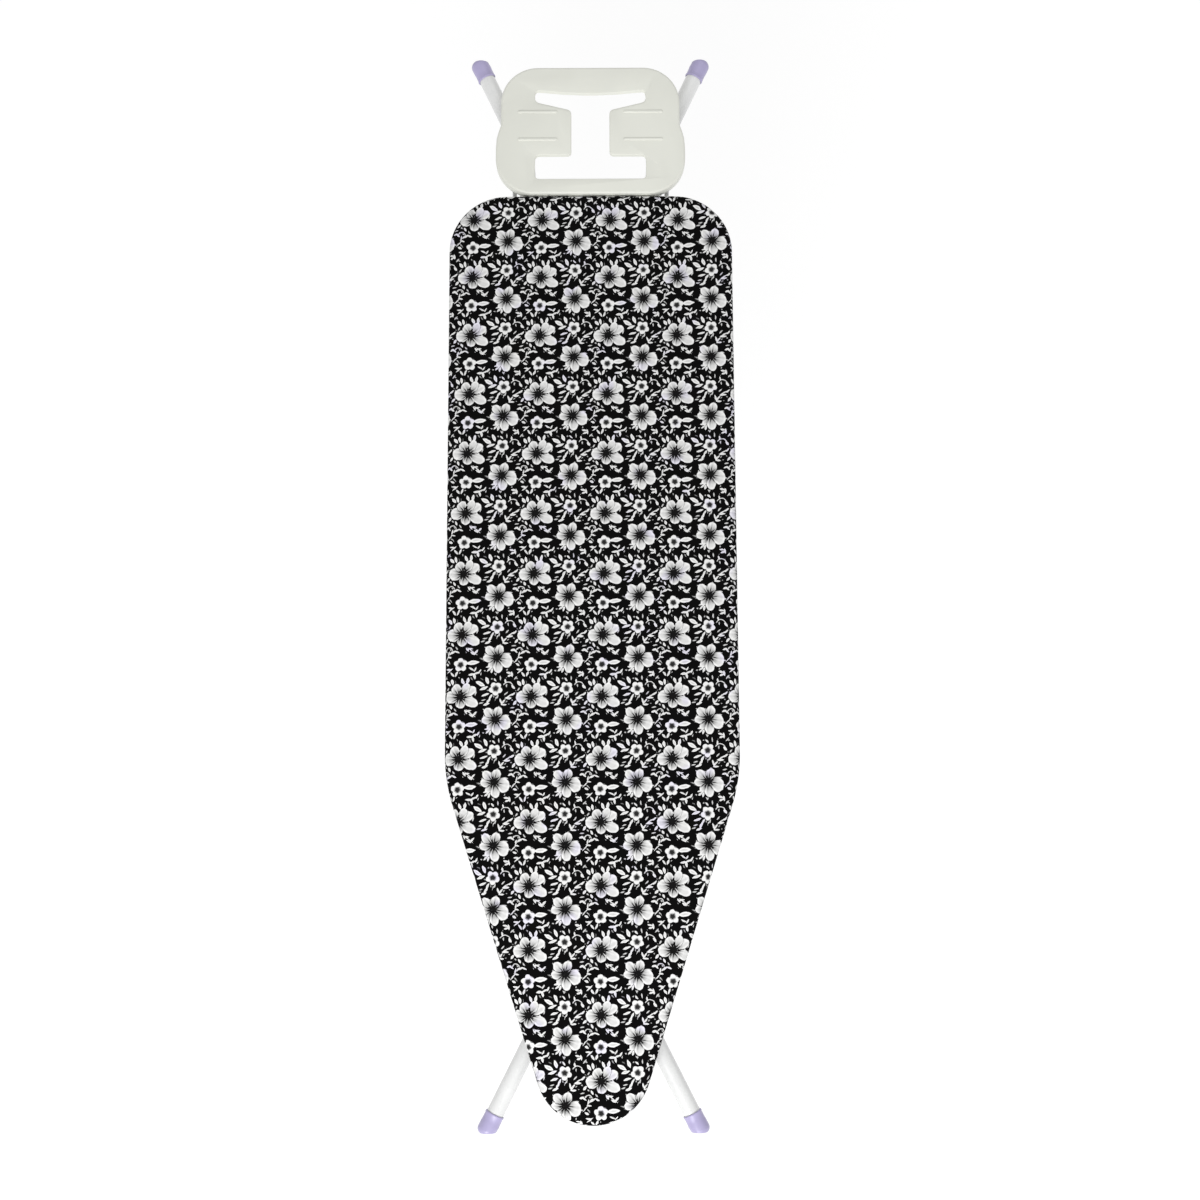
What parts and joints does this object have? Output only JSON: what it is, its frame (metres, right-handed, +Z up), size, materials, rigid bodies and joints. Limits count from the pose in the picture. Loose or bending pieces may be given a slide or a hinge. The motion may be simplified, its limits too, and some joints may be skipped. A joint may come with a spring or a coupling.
{
  "type": "ironing board",
  "caption": "Folding ironing board, folded flat, with a printed cotton cover over a padded mesh deck, a moulded iron rest and splayed tube legs on a scissor fold.",
  "frame": {"origin": "on the floor below the centre of the folded board's bounding box", "axes": "+Z up out of the ironing surface; +Y along the board from the nose to the iron rest; +X to the right seen from above with the nose towards the viewer"},
  "size_m": [0.38, 1.433, 0.0562],
  "materials": {
    "leg_enamel": "white powder coat, semi-gloss",
    "deck_enamel": "white powder coat, semi-gloss",
    "foot_plastic": "moulded lavender plastic, satin",
    "grip_plastic": "moulded lavender plastic, satin",
    "rest_plastic": "moulded warm grey plastic, satin",
    "cover_cotton": "black woven cotton with a white flower print",
    "pad_foam": "open-cell foam",
    "hem_elastic": "braided elastic",
    "nylon": "natural nylon",
    "rail_steel": "zinc-plated pressed steel",
    "zinc_steel": "zinc-plated steel"
  },
  "bodies": {
    "deck": {"rim_tube": "deck_enamel", "deck_sheet": "deck_enamel", "brace_nose": "deck_enamel", "brace_front": "deck_enamel", "brace_middle": "deck_enamel", "brace_hinge": "deck_enamel", "brace_rear": "deck_enamel", "foam_pad": "pad_foam", "cover": "cover_cotton", "hem_elastic": "hem_elastic", "hinge_rod": "zinc_steel", "hinge_bracket_left": "deck_enamel", "hinge_bracket_right": "deck_enamel", "hinge_cap_left": "zinc_steel", "hinge_cap_right": "zinc_steel", "rail_left": "rail_steel", "rail_right": "rail_steel", "lever_hanger_front": "nylon", "lever_hanger_rear": "nylon", "lever_spring": "zinc_steel", "iron_rest": "rest_plastic", "rest_rod_left": "deck_enamel", "rest_rod_right": "deck_enamel", "rest_clip_left": "zinc_steel", "rest_clip_right": "zinc_steel", "rest_screw_left": "zinc_steel", "rest_screw_right": "zinc_steel"},
    "inner_legs": {"leg_a_tube_left": "leg_enamel", "leg_a_tube_right": "leg_enamel", "leg_a_ear_left": "leg_enamel", "leg_a_ear_right": "leg_enamel", "foot_cap_a_left": "foot_plastic", "foot_cap_a_right": "foot_plastic", "leg_a_brace_upper": "leg_enamel", "leg_a_brace_lower": "leg_enamel"},
    "outer_legs": {"leg_b_tube_left": "leg_enamel", "leg_b_tube_right": "leg_enamel", "leg_b_ear_left": "leg_enamel", "leg_b_ear_right": "leg_enamel", "foot_cap_b_left": "foot_plastic", "foot_cap_b_right": "foot_plastic", "centre_bolt_left": "zinc_steel", "centre_bolt_right": "zinc_steel", "centre_nut_left": "zinc_steel", "centre_nut_right": "zinc_steel", "centre_spacer_left": "nylon", "centre_spacer_right": "nylon", "slide_bush_left": "nylon", "slide_bush_right": "nylon", "slide_cap_left": "zinc_steel", "slide_cap_right": "zinc_steel", "leg_b_brace_upper": "leg_enamel", "leg_b_brace_lower": "leg_enamel", "slide_bar": "zinc_steel"},
    "release_lever": {"lever_rod": "zinc_steel", "ejector_strip": "zinc_steel", "lever_grip": "grip_plastic"}
  },
  "joints": [
    {"name": "legs_fold", "type": "hinge", "parent": "deck", "child": "inner_legs", "pos_m": [0, 0.33, 0.0326], "axis": [1, 0, 0], "range_deg": [0, 55]},
    {"name": "legs_cross", "type": "hinge", "parent": "inner_legs", "child": "outer_legs", "pos_m": [0, 0, 0.0126], "axis": [-1, 0, 0], "range_deg": [0, 110]},
    {"name": "lever_turn", "type": "hinge", "parent": "deck", "child": "release_lever", "pos_m": [0.02, 0, 0.0396], "axis": [0, -1, 0], "range_deg": [0, 9], "stiffness_Nm_per_rad": 0.6, "springref_deg": -20.05}
  ],
  "couplings": [
    {"joint": "legs_cross", "follows": "legs_fold", "ratio": 2}
  ]
}
